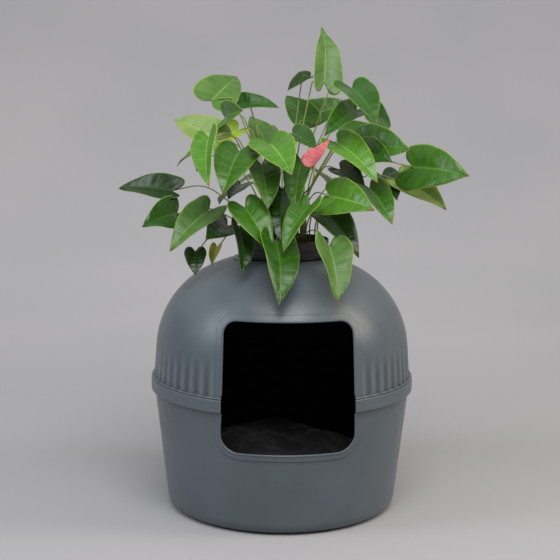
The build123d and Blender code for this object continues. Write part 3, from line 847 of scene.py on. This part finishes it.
spadix_co = np.array([v.co for v in nodes["spadix"].data.vertices])
spadix_middle = spadix_co.mean(0)
spadix_axis = np.linalg.eigh(np.cov((spadix_co - spadix_middle).T))[1][:, -1]
spadix_axis = spadix_axis if np.dot(spadix_middle - joint, spadix_axis) > 0 else -spadix_axis
reach = (spadix_co - joint) @ spadix_axis
line = np.array([joint + spadix_axis * reach.max() * s for s in np.linspace(0.03, 0.99, 30)])
radii = 0.0033 * (1 - 0.3 * np.linspace(0, 1, 30)) * np.sqrt(
    np.clip(1 - (np.linspace(0, 1, 30) ** 12), 0.05, 1)
)
points, faces = tube(line, radii, 20)
for k, p in enumerate(points):
    p += (p - Vector(line[k // 20])).normalized() * 0.00035 * (1 if (k + k // 20) % 2 else -1)
spadix = mesh_object("spadix_head", points, faces, [florets])
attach(spadix, "plant")
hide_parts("spadix")

line = stalk_line(joint, 0.92, -0.4)
radii = np.full(len(line), 0.0014)
points, faces = tube(line, radii)
flower_stalk = mesh_object("flower_stalk_round", points, faces, [rind])
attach(flower_stalk, "plant")
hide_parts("flower_stalk")

# ------------------------------------------------------------------ plush pad
# A loose round bed of charcoal plush, stuffed with fibre and dropped into the pan, so its top lies in
# soft mounds and folds. It isn't fastened.

# Plush pile: short dyed polyester fur that swallows light, near black partly from its dye and partly as a
# painted shade for the dark cabin, with a painted sheen: paler strokes where the pile is brushed over
pile, tree = start_material("charcoal_polyester_plush")
place = add_node(tree, "TexCoord").outputs["Object"]
tuft = add_node(
    tree, "TexNoise", {"Vector": place, "Scale": 1 / 0.0022, "Detail": 4.0, "Roughness": 0.7}
).outputs["Fac"]
brushed_sheen = add_node(
    tree,
    "TexNoise",
    {"Vector": place, "Scale": 1 / 0.035, "Detail": 4.0, "Roughness": 0.6, "Distortion": 1.2},
).outputs["Fac"]
# Near black: partly the dye, partly a painted shade for the dark cabin
tone = mixed(tree, spread(tree, tuft, 0.3, 0.7), "#040405", "#0b0c0e")
# Painted sheen: paler strokes where the pile is brushed over
tone = mixed(tree, spread(tree, brushed_sheen, 0.5, 0.72, 0.0, 0.55), tone, "#23272e")
bump = add_node(tree, "Bump", {"Height": tuft, "Strength": 0.7, "Distance": 0.0015})
shader = add_node(
    tree, "BsdfPrincipled", {"Base Color": tone, "Roughness": 0.9, "Normal": bump.outputs["Normal"]}
)
shader.inputs["Sheen Weight"].default_value = 0.1
shader.inputs["Sheen Roughness"].default_value = 0.5
add_node(tree, "OutputMaterial", {"Surface": shader.outputs["BSDF"]})

pad_low, pad_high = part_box("plush_pad")
pad_radius = 0.200
pad_foot = 0.176
pad_bottom = pad_low.z + 0.001
# Mounds and dips of the top: place, width and height above the pad's mean level, in metres
pad_mounds = [
    (-0.075, -0.02, 0.055, 0.020),
    (0.080, 0.00, 0.045, 0.010),
    (0.020, -0.06, 0.050, -0.012),
    (-0.010, 0.09, 0.070, 0.012),
    (0.145, -0.03, 0.040, -0.020),
    (0.000, -0.155, 0.055, 0.014),
    (-0.120, 0.08, 0.060, 0.006),
    (0.100, 0.11, 0.060, -0.008),
]


def pad_surface(x, y):
    """Height of the pad's top at a place."""
    reach = hypot(x, y) / pad_radius
    level = 0.112 - 0.06 * reach**5
    for mx, my, width, rise in pad_mounds:
        level += rise * np.exp(-((x - mx) ** 2 + (y - my) ** 2) / width**2)
    return level


pad_rings, pad_turns = 22, 72
points, faces = [(0, 0, pad_surface(0, 0))], []
for ring in range(1, pad_rings + 1):
    for k in range(pad_turns):
        x = pad_radius * ring / pad_rings * cos(2 * pi * k / pad_turns)
        y = pad_radius * ring / pad_rings * sin(2 * pi * k / pad_turns)
        points.append((x, y, pad_surface(x, y)))
for r, z in (
    (pad_radius * 1.005, 0.036),
    (pad_radius * 0.985, 0.02),
    (pad_foot, pad_bottom),
    (pad_foot * 0.5, pad_bottom),
):
    for k in range(pad_turns):
        points.append((r * cos(2 * pi * k / pad_turns), r * sin(2 * pi * k / pad_turns), z))
points.append((0, 0, pad_bottom))
last_ring = 1 + (pad_rings + 3) * pad_turns
for k in range(pad_turns):
    faces.append((0, 1 + k, 1 + (k + 1) % pad_turns))
    faces.append((len(points) - 1, last_ring + (k + 1) % pad_turns, last_ring + k))
for ring in range(pad_rings + 3):
    for k in range(pad_turns):
        a, b = 1 + ring * pad_turns + k, 1 + ring * pad_turns + (k + 1) % pad_turns
        faces.append((a, a + pad_turns, b + pad_turns, b))
pad = mesh_object("plush_pad_cover", points, faces, [pile])
bpy.context.view_layer.objects.active = pad
pad.select_set(True)


def settle(piece, voxel, pressure, frames, cap):
    """Fills a cushion's cover with stuffing: the cover is inflated as cloth, and no point moves past cap."""
    remesh = piece.modifiers.new("even_cloth", "REMESH")
    remesh.mode = "VOXEL"
    remesh.voxel_size = voxel
    remesh.use_smooth_shade = True
    bpy.ops.object.modifier_apply(modifier=remesh.name)
    rest = np.array([v.co for v in piece.data.vertices])
    cloth = piece.modifiers.new("stuffed_cover", "CLOTH")
    cloth.settings.quality = 5
    cloth.settings.mass = 0.25
    cloth.settings.tension_stiffness = 12
    cloth.settings.compression_stiffness = 12
    cloth.settings.shear_stiffness = 4
    cloth.settings.bending_stiffness = 0.2
    cloth.settings.use_pressure = True
    cloth.settings.uniform_pressure_force = pressure
    cloth.settings.effector_weights.gravity = 0
    cloth.collision_settings.use_collision = False
    cloth.collision_settings.use_self_collision = False
    cloth.point_cache.frame_start, cloth.point_cache.frame_end = 1, frames
    for frame_number in range(1, frames + 1):
        scene.frame_set(frame_number)
    settled = piece.evaluated_get(bpy.context.evaluated_depsgraph_get()).to_mesh()
    moved = np.array([v.co for v in settled.vertices]) - rest
    piece.modifiers.remove(cloth)
    scene.frame_set(1)
    far = np.linalg.norm(moved, axis=1, keepdims=True)
    rest = rest + moved * np.minimum(1, cap / np.maximum(far, 1e-9))
    return rest


settled = settle(pad, 0.006, 4.0, 20, 0.009)
# Creases: the cover is larger than the stuffing, so it gathers in ridges that wander across the top
for place in settled:
    x, y, z = place
    if z > 0.03:
        warp = noise.noise(Vector((x, y, z)) * 9) * 0.05
        ridge = 1 - abs(noise.noise(Vector((x * 14 + warp * 40, y * 14 - warp * 30, z * 6 + 2.1))))
        small = 1 - abs(noise.noise(Vector((x * 34, y * 30, z * 16 + 5))))
        place[2] += 0.009 * (ridge**3 - 0.55) * min(1, (z - 0.03) / 0.05) + 0.0025 * (small**4 - 0.4)
crease_room = 0.018
settled[:, 2] = np.minimum(settled[:, 2], pad_high.z + crease_room)
settled[:, 2] = np.maximum(settled[:, 2], pad_low.z + 0.0003)
wide = np.hypot(settled[:, 0], settled[:, 1])
# The cover stays this far inside the pan's wall, and inside the round where the wall meets the floor
pan_foot_inside, pan_rim_inside, pad_gap = 0.2145, 0.2425, 0.0045
room = pan_foot_inside + (
    pan_rim_inside - pan_foot_inside
) * np.clip(settled[:, 2] / pan_height, 0, 1) - pad_gap
room = np.where(settled[:, 2] < 0.025, np.minimum(room, 0.189 + settled[:, 2]), room)
shrink = np.minimum(1, room / np.maximum(wide, 1e-9))
settled[:, 0] *= shrink
settled[:, 1] *= shrink
pad.data.vertices.foreach_set("co", settled.ravel())
pad.data.polygons.foreach_set("use_smooth", [True] * len(pad.data.polygons))
pad.data.update()
if not pad.data.materials:
    pad.data.materials.append(pile)
finer = pad.modifiers.new("finer", "SUBSURF")
finer.levels = finer.render_levels = 1
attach(pad, "pad")
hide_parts("plush_pad")
